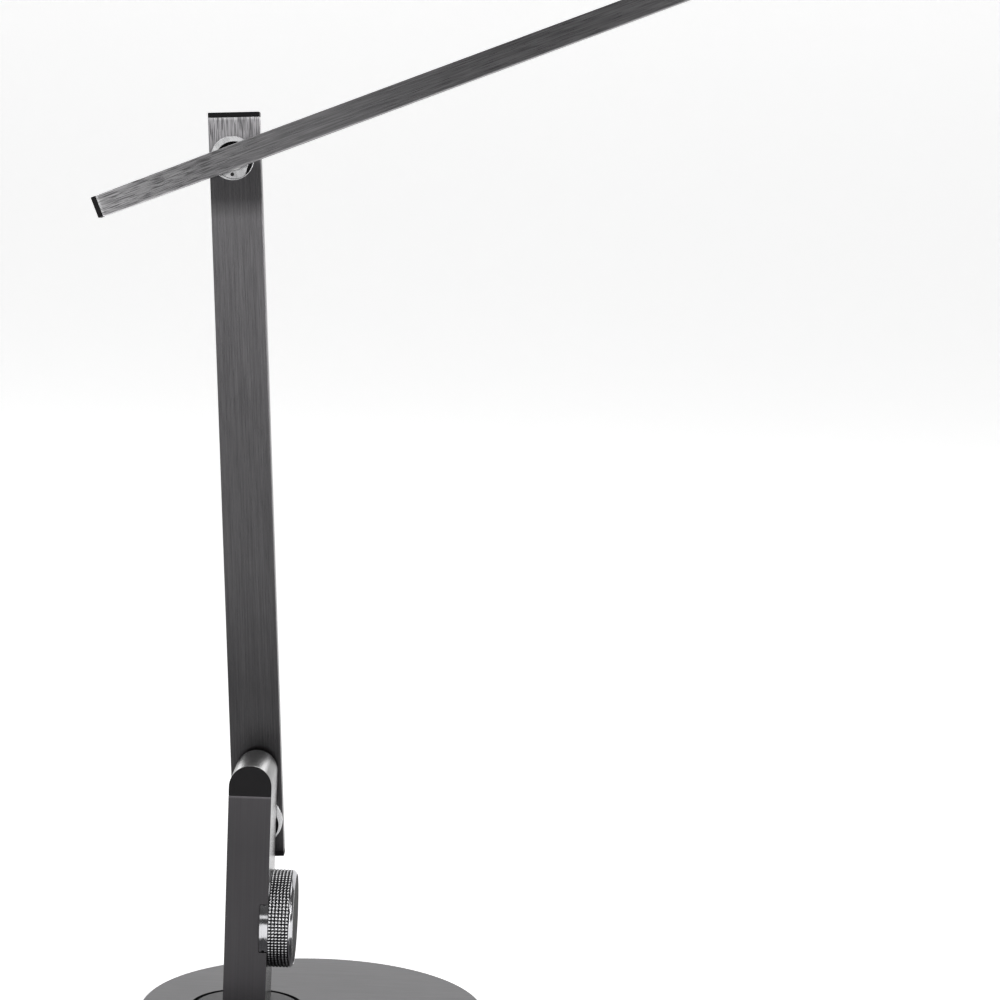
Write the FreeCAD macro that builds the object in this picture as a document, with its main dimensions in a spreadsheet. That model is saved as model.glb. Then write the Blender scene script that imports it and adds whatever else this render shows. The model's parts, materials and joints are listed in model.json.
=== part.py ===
import FreeCAD, Part
import math
import os

import Sketcher

# A swing arm desk lamp: round weighted base, swivelling stem with a dimmer knob, a flat lower
# bar hinged behind the stem and an upper arm hinged in front of the bar.
# Millimetres and degrees.  X runs towards the lamp head, Y to the back, Z up.
# The origin is the centre of the base's footprint.

doc = FreeCAD.newDocument("desk_lamp")
Vector = FreeCAD.Vector

# name, value, meaning
DIMENSIONS = [
    ("base_radius", 95.0, "round base, outside"),
    ("base_height", 15.0, "table to the top of the base"),
    ("base_edge", 0.8, "chamfer round the base's top edge"),
    ("cover_wall", 1.6, "base cover's sheet"),
    ("foot_height", 1.7, "soft foot pad"),
    ("foot_radius", 88.0, "soft foot pad"),
    ("plate_screw_circle", 66.0, "circle of the bottom plate's screws"),
    ("plate_thickness", 1.5, "bottom plate"),
    ("socket_radius", 31.3, "round opening in the base that the swivel disc sits in"),
    ("disc_radius", 29.0, "swivel disc"),
    ("disc_thickness", 3.0, "swivel disc"),
    ("flange_thickness", 1.0, "bushing's thrust flange"),
    ("web_thickness", 2.6, "weight left under the bushing's flange"),
    ("spindle_radius", 7.0, "swivel spindle, outside"),
    ("spindle_bore", 4.5, "swivel spindle, wire passage radius"),
    ("bushing_wall", 3.0, "swivel bushing's sleeve"),
    ("bushing_flange", 23.5, "swivel bushing's flange radius"),
    ("washer_thickness", 0.8, "swivel washer"),
    ("swivel_nut_height", 2.2, "swivel nut"),
    ("stop_circle", 26.2, "circle that the swivel's stop pin runs on"),
    ("stop_pin_radius", 1.2, "swivel stop pin"),
    ("stop_angle", 14.0, "solid block left in the stop groove"),
    ("run_fit", 0.05, "radial clearance of everything that turns"),
    ("seat_gap", 0.1, "clearance round pieces that are only seated"),
    ("inlet_width", 9.0, "power inlet block, across"),
    ("inlet_depth", 13.0, "power inlet block, front to back"),
    ("inlet_bore", 2.8, "power inlet's barrel radius"),
    ("inlet_pin", 1.0, "power inlet's centre pin radius"),
    ("board_thickness", 1.6, "circuit boards"),
    ("power_board_x", 40.0, "power board, across"),
    ("power_board_y", 26.0, "power board, front to back"),
    ("power_board_place", 49.0, "power board's centre, behind the base's centre"),
    ("lead_radius", 0.8, "inner wiring"),
    ("stem_place", -36.6, "stem's centre, across"),
    ("stem_width", 23.0, "stem, across"),
    ("stem_depth", 45.0, "stem, front to back"),
    ("stem_top", 154.5, "top of the stem's round arch"),
    ("cap_line", 138.0, "joint between the front panel and the round cap"),
    ("stem_wall", 1.5, "stem shell's sheet"),
    ("panel_thickness", 1.2, "front and back panels and caps"),
    ("chassis_foot", 4.5, "chassis foot's thickness"),
    ("chassis_column", 3.0, "chassis column's thickness"),
    ("chassis_block", 12.8, "depth of the chassis block that holds the lower pivot"),
    ("knob_place", 65.2, "knob's axis above the table"),
    ("knob_radius", 26.7, "dimmer knob, outside"),
    ("drum_radius", 25.8, "smooth drum that runs in the stem's notch"),
    ("drum_groove", 0.6, "depth of the groove round the drum"),
    ("notch_depth", 4.4, "notch in the stem's side, across"),
    ("notch_half_height", 13.4, "notch in the panels, above and below the axis"),
    ("knob_running_gap", 0.3, "drum to the stem all round"),
    ("sleeve_wall", 1.9, "knurled sleeve's wall, without its beads"),
    ("bead_height", 0.5, "knurl beads"),
    ("sleeve_length", 11.2, "knurled sleeve"),
    ("bezel_length", 2.3, "bevelled ring at the knob's face"),
    ("bezel_slope", 1.3, "bevel's fall at the knob's face"),
    ("face_thickness", 1.5, "knob's face disc"),
    ("dimmer_radius", 8.0, "rotary dimmer's can"),
    ("dimmer_length", 6.7, "rotary dimmer's can"),
    ("dimmer_bush", 3.6, "rotary dimmer's threaded bush radius"),
    ("dimmer_shaft", 3.0, "rotary dimmer's shaft radius"),
    ("bracket_thickness", 1.2, "dimmer bracket"),
    ("bracket_half_width", 12.0, "dimmer bracket"),
    ("lower_pivot_x", -35.6, "lower pivot, across"),
    ("lower_pivot_z", 113.9, "lower pivot above the table"),
    ("bar_lean", 3.6, "bar's lean from upright at rest, degrees"),
    ("bar_gap", 3.9, "stem's back to the bar's front"),
    ("bar_width", 28.0, "bar"),
    ("bar_thickness", 9.4, "bar"),
    ("bar_wall", 1.2, "bar's wall"),
    ("bar_edge", 0.5, "rounding of the bar's long edges"),
    ("bar_below", 21.4, "bar's lower end below the lower pivot"),
    ("pivot_span", 367.0, "lower pivot to upper pivot along the bar"),
    ("bar_above", 24.8, "bar's upper end above the upper pivot"),
    ("upper_pivot_shift", -1.2, "upper pivot off the bar's centre line"),
    ("bar_cap", 2.7, "bar's end caps"),
    ("plug_depth", 6.0, "part of an end cap inside its tube"),
    ("arm_angle", 22.4, "arm's rise from level at rest, degrees"),
    ("arm_height", 12.5, "arm, from the pivot to the head"),
    ("tail_height", 11.7, "arm, at its tail end"),
    ("arm_thickness", 10.0, "arm, front to back"),
    ("arm_wall", 1.2, "arm's wall"),
    ("arm_edge", 0.4, "rounding of the arm's long edges"),
    ("arm_gap", 3.8, "arm's back to the bar's front"),
    ("tail_length", 78.4, "pivot to the tail end"),
    ("head_length", 490.0, "pivot to the head end"),
    ("arm_cap", 2.8, "arm's end caps"),
    ("cup_height", 2.8, "joint cups, proud of the bar"),
    ("upper_cup_radius", 11.9, "joint cup at the upper pivot"),
    ("lower_cup_radius", 13.9, "joint cup at the lower pivot"),
    ("recess_radius", 10.1, "round recess in both cups"),
    ("recess_depth", 2.2, "round recess in both cups"),
    ("upper_recess_x", 0.8, "recess off the cup's centre, across"),
    ("upper_recess_z", -1.2, "recess off the cup's centre, upwards"),
    ("lower_recess_x", 1.4, "recess off the cup's centre, across"),
    ("lower_recess_z", -2.6, "recess off the cup's centre, upwards"),
    ("liner_thickness", 0.6, "black liner in a cup"),
    ("hub_plate_thickness", 0.8, "polished plate in a cup"),
    ("opening_left", 5.8, "opening above the upper pivot, left of it"),
    ("opening_right", 5.3, "opening above the upper pivot, right of it"),
    ("opening_low", 5.6, "opening above the upper pivot, its lower edge"),
    ("side_opening", 9.2, "openings right of both pivots, their left edge"),
    ("side_opening_turn", -19.5, "turn of the upper one, degrees"),
    ("pivot_radius", 5.0, "both pivot shafts"),
    ("pivot_bore", 2.5, "wire passage through the pivot shafts"),
    ("pivot_bush_wall", 1.5, "bushes of both pivots"),
    ("bush_flange_radius", 8.5, "bushes' flange inside the bar"),
    ("bush_flange", 0.8, "bushes' flange thickness"),
    ("friction_disc", 0.8, "friction discs inside the bar"),
    ("clamp_nut_height", 2.6, "clamp nuts inside the bar"),
    ("clamp_nut_radius", 7.6, "clamp nuts inside the bar"),
    ("spacer_wall", 1.1, "collars in front of both bushes"),
    ("shaft_shoulder", 7.0, "lower pivot shaft where the chassis holds it"),
    ("shaft_head", 7.5, "lower pivot shaft's head"),
    ("shaft_head_height", 2.2, "lower pivot shaft's head"),
    ("lamp_length", 180.0, "lit strip under the head"),
    ("lamp_inset", 9.0, "lit strip's end from the head end"),
    ("lamp_width", 7.2, "lit strip, across the arm"),
    ("heat_strip_height", 3.2, "aluminium strip behind the lights"),
    ("lamp_depth", 1.6, "arm's inside floor to the lights' board"),
    ("led_size", 3.0, "light emitting chip"),
    ("led_height", 0.9, "light emitting chip"),
    ("screw_radius", 1.5, "small screws, shank"),
    ("screw_head", 2.8, "small screws, head radius"),
    ("screw_head_height", 1.0, "small screws, head"),
]
LED_COUNT = 22
PLATE_SCREWS = 4

sheet = doc.addObject("Spreadsheet::Sheet", "Sizes")


class Size:
    """A value together with the sheet formula that gives it."""

    def __init__(self, value, formula):
        self.value = float(value)
        self.formula = formula

    def __add__(self, other):
        return joined(self, "+", other, self.value + as_size(other).value)

    def __radd__(self, other):
        return as_size(other) + self

    def __sub__(self, other):
        return joined(self, "-", other, self.value - as_size(other).value)

    def __rsub__(self, other):
        return as_size(other) - self

    def __mul__(self, other):
        return joined(self, "*", other, self.value * as_size(other).value)

    def __rmul__(self, other):
        return as_size(other) * self

    def __truediv__(self, other):
        return joined(self, "/", other, self.value / as_size(other).value)

    def __neg__(self):
        return as_size(0) - self


def as_size(value):
    if isinstance(value, Size):
        return value
    return Size(value, f"{float(value):.6g}")


def joined(left, sign, right, value):
    return Size(value, f"({left.formula} {sign} {as_size(right).formula})")


def sine(angle):
    return Size(math.sin(math.radians(angle.value)), f"sin({angle.formula} * 1 deg)")


def cosine(angle):
    return Size(math.cos(math.radians(angle.value)), f"cos({angle.formula} * 1 deg)")


class Dimensions:
    """Every driving dimension, as an attribute."""


def fill_sheet():
    dimensions = Dimensions()
    for row, (name, value, meaning) in enumerate(DIMENSIONS, start=1):
        sheet.set(f"A{row}", name)
        sheet.set(f"B{row}", str(value))
        sheet.set(f"C{row}", meaning)
        sheet.setAlias(f"B{row}", name)
        setattr(dimensions, name, Size(value, f"Sizes.{name}"))
    doc.recompute()
    return dimensions


d = fill_sheet()
ZERO = as_size(0)

# Heights in the base
plate_top = d.foot_height + d.plate_thickness
cover_underside = d.base_height - d.cover_wall
disc_bottom = d.base_height - d.disc_thickness
socket_floor = disc_bottom - d.flange_thickness
web_bottom = socket_floor - d.web_thickness
weight_radius = d.base_radius - d.cover_wall - 0.3
bushing_bore = d.spindle_radius + d.run_fit
bushing_outer = bushing_bore + d.bushing_wall
spindle_end = web_bottom - d.washer_thickness - d.swivel_nut_height - 0.2
inlet_height = (plate_top + cover_underside) / 2
head_pocket = d.screw_head + 0.15

# Faces of the stem, in the stem's own frame
half_width = d.stem_width / 2
inner_half_width = half_width - d.stem_wall
stem_back = d.stem_depth / 2
shell_back = stem_back - d.panel_thickness
arch_centre = d.stem_top - half_width
notch_floor = half_width - d.notch_depth
chassis_side = inner_half_width - 0.3
chassis_top = d.cap_line - 1.0
column_face = -chassis_side + d.chassis_column
chassis_back = shell_back - 0.3
block_front = chassis_back - d.chassis_block
pivot_in_stem = d.lower_pivot_x - d.stem_place

# Faces of the bar and the arm, front to back
bar_front = stem_back + d.bar_gap
bar_back = bar_front + d.bar_thickness
bar_top = d.pivot_span + d.bar_above
wall_inside = bar_front + d.bar_wall
cup_front = bar_front - d.cup_height
recess_floor = cup_front + d.recess_depth
liner_front = recess_floor - d.liner_thickness
hub_front = liner_front - d.hub_plate_thickness
opening_reach = d.recess_radius * 1.5
bush_outer = d.pivot_radius + d.run_fit + d.pivot_bush_wall
bush_hole = bush_outer + d.seat_gap
spacer_radius = d.pivot_radius + d.spacer_wall
friction_front = wall_inside + d.bush_flange
nut_front = friction_front + d.friction_disc
nut_back = nut_front + d.clamp_nut_height
arm_back = bar_front - d.arm_gap
arm_front = arm_back - d.arm_thickness
arm_centre = (arm_front + arm_back) / 2
arm_inner = d.arm_height / 2 - d.arm_wall
lamp_end = d.head_length - d.lamp_inset
lamp_start = lamp_end - d.lamp_length
board_seat = -arm_inner + d.lamp_depth

# Knob, along its own axis from the stem's centre line
drum_start = notch_floor + d.knob_running_gap
sleeve_start = half_width + d.knob_running_gap
sleeve_end = sleeve_start + d.sleeve_length
knob_end = sleeve_end + d.bezel_length
sleeve_core = d.knob_radius - d.bead_height - d.sleeve_wall
bracket_front = column_face + d.dimmer_length
knob_cup_floor = drum_start + 2.4
dimmer_shaft_end = sleeve_end - 1.0

# Where each moving frame stands: across, up, and its turn about the front-to-back axis
FRAMES = {
    "base": (ZERO, ZERO, None),
    "stem": (d.stem_place, ZERO, None),
    "knob": (d.stem_place, d.knob_place, None),
    "bar": (d.lower_pivot_x, d.lower_pivot_z, d.bar_lean),
    "arm": (
        d.lower_pivot_x + d.upper_pivot_shift * cosine(d.bar_lean) - d.pivot_span * sine(d.bar_lean),
        d.lower_pivot_z + d.upper_pivot_shift * sine(d.bar_lean) + d.pivot_span * cosine(d.bar_lean),
        d.arm_angle,
    ),
}
nodes = []


# --- shapes -----------------------------------------------------------------------------------

def bind(item, name, size):
    item.setExpression(name, as_size(size).formula)


def place(item, x, y, z):
    bind(item, "Placement.Base.x", x)
    bind(item, "Placement.Base.y", y)
    bind(item, "Placement.Base.z", z)


def box(x, y, z):
    """A block from its (low, high) pair along each axis."""
    item = doc.addObject("Part::Box", "block")
    low = [as_size(pair[0]) for pair in (x, y, z)]
    high = [as_size(pair[1]) for pair in (x, y, z)]
    for name, start, end in zip(("Length", "Width", "Height"), low, high):
        bind(item, name, end - start)
    place(item, *low)
    return item


def turned(item, axis, start, centre):
    """Stands a shape that grows along Z on another axis, from start, centred on the other two."""
    first, second = centre
    if axis == "x":
        item.Placement.Rotation = FreeCAD.Rotation(Vector(0, 1, 0), 90)
        place(item, start, first, second)
    elif axis == "y":
        item.Placement.Rotation = FreeCAD.Rotation(Vector(1, 0, 0), -90)
        place(item, first, start, second)
    else:
        place(item, first, second, start)
    return item


def rod(axis, radius, start, end, centre=(ZERO, ZERO)):
    item = doc.addObject("Part::Cylinder", "rod")
    bind(item, "Radius", radius)
    bind(item, "Height", as_size(end) - start)
    return turned(item, axis, start, centre)


def hexagon(axis, corner_radius, start, end, centre=(ZERO, ZERO)):
    item = doc.addObject("Part::Prism", "hexagon")
    item.Polygon = 6
    bind(item, "Circumradius", corner_radius)
    bind(item, "Height", as_size(end) - start)
    return turned(item, axis, start, centre)


def fuse(*pieces):
    item = doc.addObject("Part::MultiFuse", "joined")
    item.Shapes = list(pieces)
    return item


def cut(base, *tools):
    item = doc.addObject("Part::Cut", "cut")
    item.Base = base
    item.Tool = tools[0] if len(tools) == 1 else fuse(*tools)
    return item


def common(first, second):
    item = doc.addObject("Part::MultiCommon", "shared")
    item.Shapes = [first, second]
    return item


def group(*pieces):
    item = doc.addObject("Part::Compound", "group")
    item.Links = list(pieces)
    return item


def ring(axis, outer, inner, start, end, centre=(ZERO, ZERO)):
    return cut(rod(axis, outer, start, end, centre),
               rod(axis, inner, as_size(start) - 1, as_size(end) + 1, centre))


def screw(axis, start, shank_length, centre):
    """A screw with a hexagon socket, from its head's face at start."""
    head_end = start + d.screw_head_height
    shank = rod(axis, d.screw_radius, head_end, head_end + shank_length, centre)
    head = rod(axis, d.screw_head, start, head_end, centre)
    socket = hexagon(axis, d.screw_radius, start - 1, start + d.screw_head_height * 0.6, centre)
    return cut(fuse(head, shank), socket)


def plane(body, role):
    for feature in body.Origin.OriginFeatures:
        if feature.Role == role:
            return feature
    raise ValueError(role)


def outline(body, role, points):
    """A closed sketch of straight lines whose corners are bound to the sheet."""
    sketch = body.newObject("Sketcher::SketchObject", "outline")
    sketch.AttachmentSupport = (plane(body, role), [""])
    sketch.MapMode = "FlatFace"
    corners = [(as_size(x), as_size(y)) for x, y in points]
    vectors = [Vector(x.value, y.value, 0) for x, y in corners]
    for start, end in zip(vectors, vectors[1:] + vectors[:1]):
        sketch.addGeometry(Part.LineSegment(start, end), False)
    count = len(corners)
    for index in range(count):
        sketch.addConstraint(Sketcher.Constraint("Coincident", index, 2, (index + 1) % count, 1))
    for index, (x, y) in enumerate(corners):
        across = sketch.addConstraint(Sketcher.Constraint("DistanceX", -1, 1, index, 1, x.value))
        up = sketch.addConstraint(Sketcher.Constraint("DistanceY", -1, 1, index, 1, y.value))
        bind(sketch, f"Constraints[{across}]", x)
        bind(sketch, f"Constraints[{up}]", y)
    return sketch


def revolved(points, axis="V_Axis"):
    """A turned piece: (radius, height) corners about V_Axis, or (length, radius) about H_Axis."""
    body = doc.addObject("PartDesign::Body", "turned")
    sketch = outline(body, "XZ_Plane", points)
    turn = body.newObject("PartDesign::Revolution", "turn")
    turn.Profile = sketch
    turn.ReferenceAxis = (sketch, [axis])
    turn.Angle = 360
    body.Tip = turn
    return body


def padded(role, points, start, length, edge=None, edge_direction=None):
    """A pad of an outline from start along the plane's normal, its long edges rounded."""
    body = doc.addObject("PartDesign::Body", "pad")
    sketch = outline(body, role, points)
    bind(sketch, "AttachmentOffset.Base.z", start)
    pad = body.newObject("PartDesign::Pad", "pad")
    pad.Profile = sketch
    bind(pad, "Length", length)
    body.Tip = pad
    if edge is not None:
        doc.recompute()
        names = []
        for index, item in enumerate(pad.Shape.Edges, start=1):
            run = item.Vertexes[-1].Point - item.Vertexes[0].Point
            if abs(run.normalize().dot(edge_direction)) > 0.99:
                names.append(f"Edge{index}")
        fillet = body.newObject("PartDesign::Fillet", "edges")
        fillet.Base = (pad, names)
        bind(fillet, "Radius", edge)
        body.Tip = fillet
    return body


def rounded_route(points, bend):
    """Straight runs joined by tangent arcs."""
    corners = [Vector(*point) for point in points]
    edges = []
    here = corners[0]
    for before, corner, after in zip(corners, corners[1:], corners[2:]):
        into = (corner - before).normalize()
        out = (after - corner).normalize()
        half_turn = math.acos(max(-1.0, min(1.0, into.dot(out)))) / 2
        if half_turn < 0.001:
            continue
        shorter = min((corner - before).Length, (after - corner).Length)
        reach = min(bend * math.tan(half_turn), 0.45 * shorter)
        arc_start = corner - into * reach
        arc_end = corner + out * reach
        middle_way = (out - into).normalize()
        radius = reach / math.tan(half_turn)
        arc_middle = corner + middle_way * (radius / math.cos(half_turn) - radius)
        edges.append(Part.LineSegment(here, arc_start).toShape())
        edges.append(Part.Arc(arc_start, arc_middle, arc_end).toShape())
        here = arc_end
    edges.append(Part.LineSegment(here, corners[-1]).toShape())
    return Part.Wire(edges)


def lead(points, bend=8.0):
    """Inner wiring along a route; the points are lengths in the piece's own frame."""
    values = [[as_size(number).value for number in point] for point in points]
    route = rounded_route(values, bend)
    start = Vector(*values[0])
    along = Vector(*values[1]) - start
    section = Part.Wire(Part.makeCircle(d.lead_radius.value, start, along))
    item = doc.addObject("Part::Feature", "lead")
    item.Shape = route.makePipeShell([section], True, False)
    expected = math.pi * d.lead_radius.value ** 2 * route.Length
    if abs(item.Shape.Volume - expected) > 0.02 * expected:
        raise ValueError("a lead's tube does not fill its route")
    return item


def node(name, item, frame="base"):
    """Names a finished piece and stands it in its frame."""
    x, z, turn = FRAMES[frame]
    angle = turn.value if turn is not None else 0
    item.Label = name
    item.Placement = FreeCAD.Placement(Vector(x.value, 0, z.value),
                                       FreeCAD.Rotation(Vector(0, -1, 0), angle))
    place(item, x, ZERO, z)
    if turn is not None:
        bind(item, "Placement.Rotation.Angle", turn)
    nodes.append(item)
    return item


# --- base -------------------------------------------------------------------------------------

swivel = (d.stem_place, ZERO)


def plate_screw_places():
    for index in range(PLATE_SCREWS):
        angle = math.radians(45 + index * 360 / PLATE_SCREWS)
        share_x = as_size(round(math.cos(angle), 6))
        share_y = as_size(round(math.sin(angle), 6))
        yield (d.plate_screw_circle * share_x, d.plate_screw_circle * share_y)


def base_cover():
    wall_inner = d.base_radius - d.cover_wall
    shell = revolved([
        (ZERO, cover_underside),
        (wall_inner, cover_underside),
        (wall_inner, d.foot_height),
        (d.base_radius, d.foot_height),
        (d.base_radius, d.base_height - d.base_edge),
        (d.base_radius - d.base_edge, d.base_height),
        (ZERO, d.base_height),
    ])
    opening = rod("z", d.socket_radius, cover_underside - 1, d.base_height + 1, swivel)
    inlet = rod("y", d.inlet_bore + 1.6, wall_inner - 4, d.base_radius + 1, (ZERO, inlet_height))
    return cut(shell, opening, inlet)


def stop_groove():
    """The groove that the stop pin runs in, with a solid block left at the back."""
    outer = d.stop_circle + d.stop_pin_radius + 0.5
    inner = d.stop_circle - d.stop_pin_radius - 0.5
    whole = ring("z", outer, inner, socket_floor - 2.6, socket_floor + 0.5, swivel)
    half_block = d.stop_circle * sine(d.stop_angle / 2)
    block = box((d.stem_place - half_block, d.stem_place + half_block),
                (inner * 0.9, outer + 1),
                (socket_floor - 3, socket_floor + 1))
    return cut(whole, block)


def base_weight():
    disc = rod("z", weight_radius, plate_top, cover_underside)
    half_x = d.power_board_x / 2 + 1
    half_y = d.power_board_y / 2 + 1
    lead_half = d.lead_radius + 1.7
    board_front = d.power_board_place - half_y
    tools = [
        rod("z", d.socket_radius, socket_floor, cover_underside + 1, swivel),
        rod("z", bushing_outer + d.run_fit, plate_top - 1, socket_floor + 1, swivel),
        rod("z", d.spindle_radius * 2.2, plate_top - 1, web_bottom, swivel),
        stop_groove(),
        # pocket of the power board, and the inlet's
        box((-half_x, half_x), (board_front, d.power_board_place + half_y), (plate_top - 1, socket_floor)),
        box((-(d.inlet_width / 2 + 0.3), d.inlet_width / 2 + 0.3),
            (weight_radius - d.inlet_depth - 0.3, weight_radius + 1),
            (plate_top - 1, cover_underside + 1)),
        # wiring channels: inlet to board, board to swivel
        box((-lead_half, lead_half), (d.power_board_place, weight_radius - d.inlet_depth),
            (plate_top - 1, web_bottom)),
        box((d.stem_place - lead_half, d.stem_place + lead_half),
            (ZERO, d.power_board_place + lead_half), (plate_top - 1, web_bottom)),
        box((d.stem_place, ZERO),
            (d.power_board_place - lead_half, d.power_board_place + lead_half),
            (plate_top - 1, web_bottom)),
    ]
    for x, y in plate_screw_places():
        tools.append(rod("z", d.screw_radius + d.seat_gap, plate_top - 1, plate_top + 6, (x, y)))
    return cut(disc, *tools)


def bottom_plate():
    disc = rod("z", weight_radius, d.foot_height, plate_top)
    holes = [rod("z", d.screw_radius + d.seat_gap, d.foot_height - 1, plate_top + 1, place_xy)
             for place_xy in plate_screw_places()]
    return cut(disc, *holes)


def foot_pad():
    """A soft pad glued over the bottom plate, with a pocket over each screw's head."""
    soft_edge = 0.4
    pad = revolved([
        (ZERO, d.foot_height),
        (ZERO, ZERO),
        (d.foot_radius - soft_edge, ZERO),
        (d.foot_radius, ZERO + soft_edge),
        (d.foot_radius, d.foot_height),
    ])
    pockets = [rod("z", head_pocket, d.foot_height - d.screw_head_height - 0.1, d.foot_height + 1, place_xy)
               for place_xy in plate_screw_places()]
    return cut(pad, *pockets)


def bottom_screws():
    start = d.foot_height - d.screw_head_height
    return group(*[screw("z", start, as_size(6), place_xy) for place_xy in plate_screw_places()])


def swivel_bushing():
    sleeve = ring("z", bushing_outer, bushing_bore, web_bottom, disc_bottom, swivel)
    flange = ring("z", d.bushing_flange, bushing_outer - 0.5, socket_floor, disc_bottom, swivel)
    return fuse(sleeve, flange)


def dc_inlet():
    half = d.inlet_width / 2
    front = weight_radius - 0.2
    collar = d.inlet_bore + 1.2
    centre = (ZERO, inlet_height)
    block = box((-half, half), (front - d.inlet_depth, front), (plate_top, cover_underside - 0.2))
    nose = rod("y", collar, front - 1, d.base_radius - 0.3, centre)
    bore = rod("y", d.inlet_bore, front - 9, d.base_radius + 1, centre)
    pin = rod("y", d.inlet_pin, front - 9.5, d.base_radius - 1.2, centre)
    return fuse(cut(fuse(block, nose), bore), pin)


def power_board():
    half_x = d.power_board_x / 2
    half_y = d.power_board_y / 2
    y = d.power_board_place
    under = plate_top + 1.0
    top = under + d.board_thickness
    pieces = [box((-half_x, half_x), (y - half_y, y + half_y), (under, top))]
    for side_x in (-1, 1):
        for side_y in (-1, 1):
            foot = ((half_x - 2.5) * side_x, y + (half_y - 2.5) * side_y)
            pieces.append(rod("z", 1.8, plate_top, under, foot))
    pieces.append(rod("z", 3.2, top, top + 3.4, (half_x - 7, y + 5)))
    pieces.append(box((-6, 2), (y - 6, y + 2), (top, top + 2.6)))
    pieces.append(box((6, 11), (y - 9, y - 4), (top, top + 1.2)))
    pieces.append(box((-half_x + 4, -half_x + 9), (y + 2, y + 10), (top, top + 3.0)))
    return fuse(*pieces)


def base_lead():
    low = plate_top + d.lead_radius + 0.1
    board_edge = d.power_board_place
    return lead([
        (-(d.power_board_x / 2 + 0.4), board_edge, low),
        (d.stem_place, board_edge, low),
        (d.stem_place, board_edge - 24, low),
        (d.stem_place, ZERO + 9, low),
        (d.stem_place, ZERO + 1, low),
    ], 4.0)


def build_base():
    node("base_cover", base_cover())
    node("base_weight", base_weight())
    node("bottom_plate", bottom_plate())
    node("foot_pad", foot_pad())
    node("bottom_screws", bottom_screws())
    node("swivel_bushing", swivel_bushing())
    node("dc_inlet", dc_inlet())
    node("power_board", power_board())
    node("base_lead", base_lead())


# --- stem -------------------------------------------------------------------------------------

chassis_screw_place = stem_back * 0.7


def swivel_disc():
    bore = d.spindle_radius + d.run_fit
    edge = 0.3
    disc = revolved([
        (bore, disc_bottom),
        (d.disc_radius, disc_bottom),
        (d.disc_radius, d.base_height - edge),
        (d.disc_radius - edge, d.base_height),
        (bore, d.base_height),
    ])
    tools = [rod("z", d.stop_pin_radius + d.run_fit, disc_bottom - 1, disc_bottom + 1.7,
                 (ZERO, -d.stop_circle))]
    for side in (-1, 1):
        centre = (ZERO, chassis_screw_place * side)
        tools.append(rod("z", d.screw_radius + d.seat_gap, disc_bottom - 1, d.base_height + 1, centre))
        tools.append(rod("z", head_pocket, disc_bottom - 1, disc_bottom + d.screw_head_height + 0.2, centre))
    return cut(disc, *tools)


def swivel_spindle():
    flange = inner_half_width - 0.8
    tube = d.spindle_radius
    return revolved([
        (d.spindle_bore, spindle_end),
        (tube, spindle_end),
        (tube, d.base_height),
        (flange, d.base_height),
        (flange, d.base_height + 2),
        (d.spindle_bore, d.base_height + 2),
    ])


def swivel_washer():
    return ring("z", d.spindle_radius * 1.75, d.spindle_radius + d.seat_gap,
                web_bottom - d.washer_thickness, web_bottom)


def swivel_nut():
    top = web_bottom - d.washer_thickness
    return cut(hexagon("z", d.spindle_radius * 1.6, top - d.swivel_nut_height, top),
               rod("z", d.spindle_radius + d.run_fit, top - d.swivel_nut_height - 1, top + 1))


def swivel_stop_pin():
    return group(rod("z", d.stop_pin_radius, socket_floor - 2.1, disc_bottom + 1.6,
                     (ZERO, -d.stop_circle)))


def arch(half, front, back, bottom, centre_height):
    """An upright slab with a half round top."""
    return fuse(box((-half, half), (front, back), (bottom, centre_height)),
                rod("y", half, front, back, (ZERO, centre_height)))


def knob_clearance(radius):
    return rod("x", radius, notch_floor, half_width + 1, (ZERO, d.knob_place))


def stem_shell():
    outside = arch(half_width, -shell_back, shell_back, d.base_height, arch_centre)
    inside = arch(inner_half_width, -shell_back - 1, shell_back + 1, d.base_height - 1, arch_centre)
    return cut(outside, inside, knob_clearance(d.drum_radius + d.knob_running_gap))


def panel(front, back):
    slab = box((-half_width, half_width), (front, back), (d.base_height, d.cap_line))
    notch = box((notch_floor, half_width + 1), (front - 1, back + 1),
                (d.knob_place - d.notch_half_height, d.knob_place + d.notch_half_height))
    return cut(slab, notch, knob_clearance(d.drum_radius + d.knob_running_gap))


def stem_back_panel():
    passage = rod("y", spacer_radius + 0.5, shell_back - 1, stem_back + 1,
                  (pivot_in_stem, d.lower_pivot_z))
    return cut(panel(shell_back, stem_back), passage)


def stem_cap(front, back, lip_front, lip_back):
    """A half round closing plate with a lip that locates it inside the shell."""
    reach = (front - 1, back + 1)
    plate = common(arch(half_width, front, back, d.cap_line - 4, arch_centre),
                   box((-half_width - 1, half_width + 1), reach, (d.cap_line, d.stem_top + 1)))
    lip_half = inner_half_width - 0.15
    lip_reach = (lip_front - 1, lip_back + 1)
    lip = common(arch(lip_half, lip_front, lip_back, d.cap_line - 4, arch_centre),
                 box((-half_width, half_width), lip_reach, (d.cap_line, d.stem_top)))
    return fuse(plate, lip)


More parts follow.
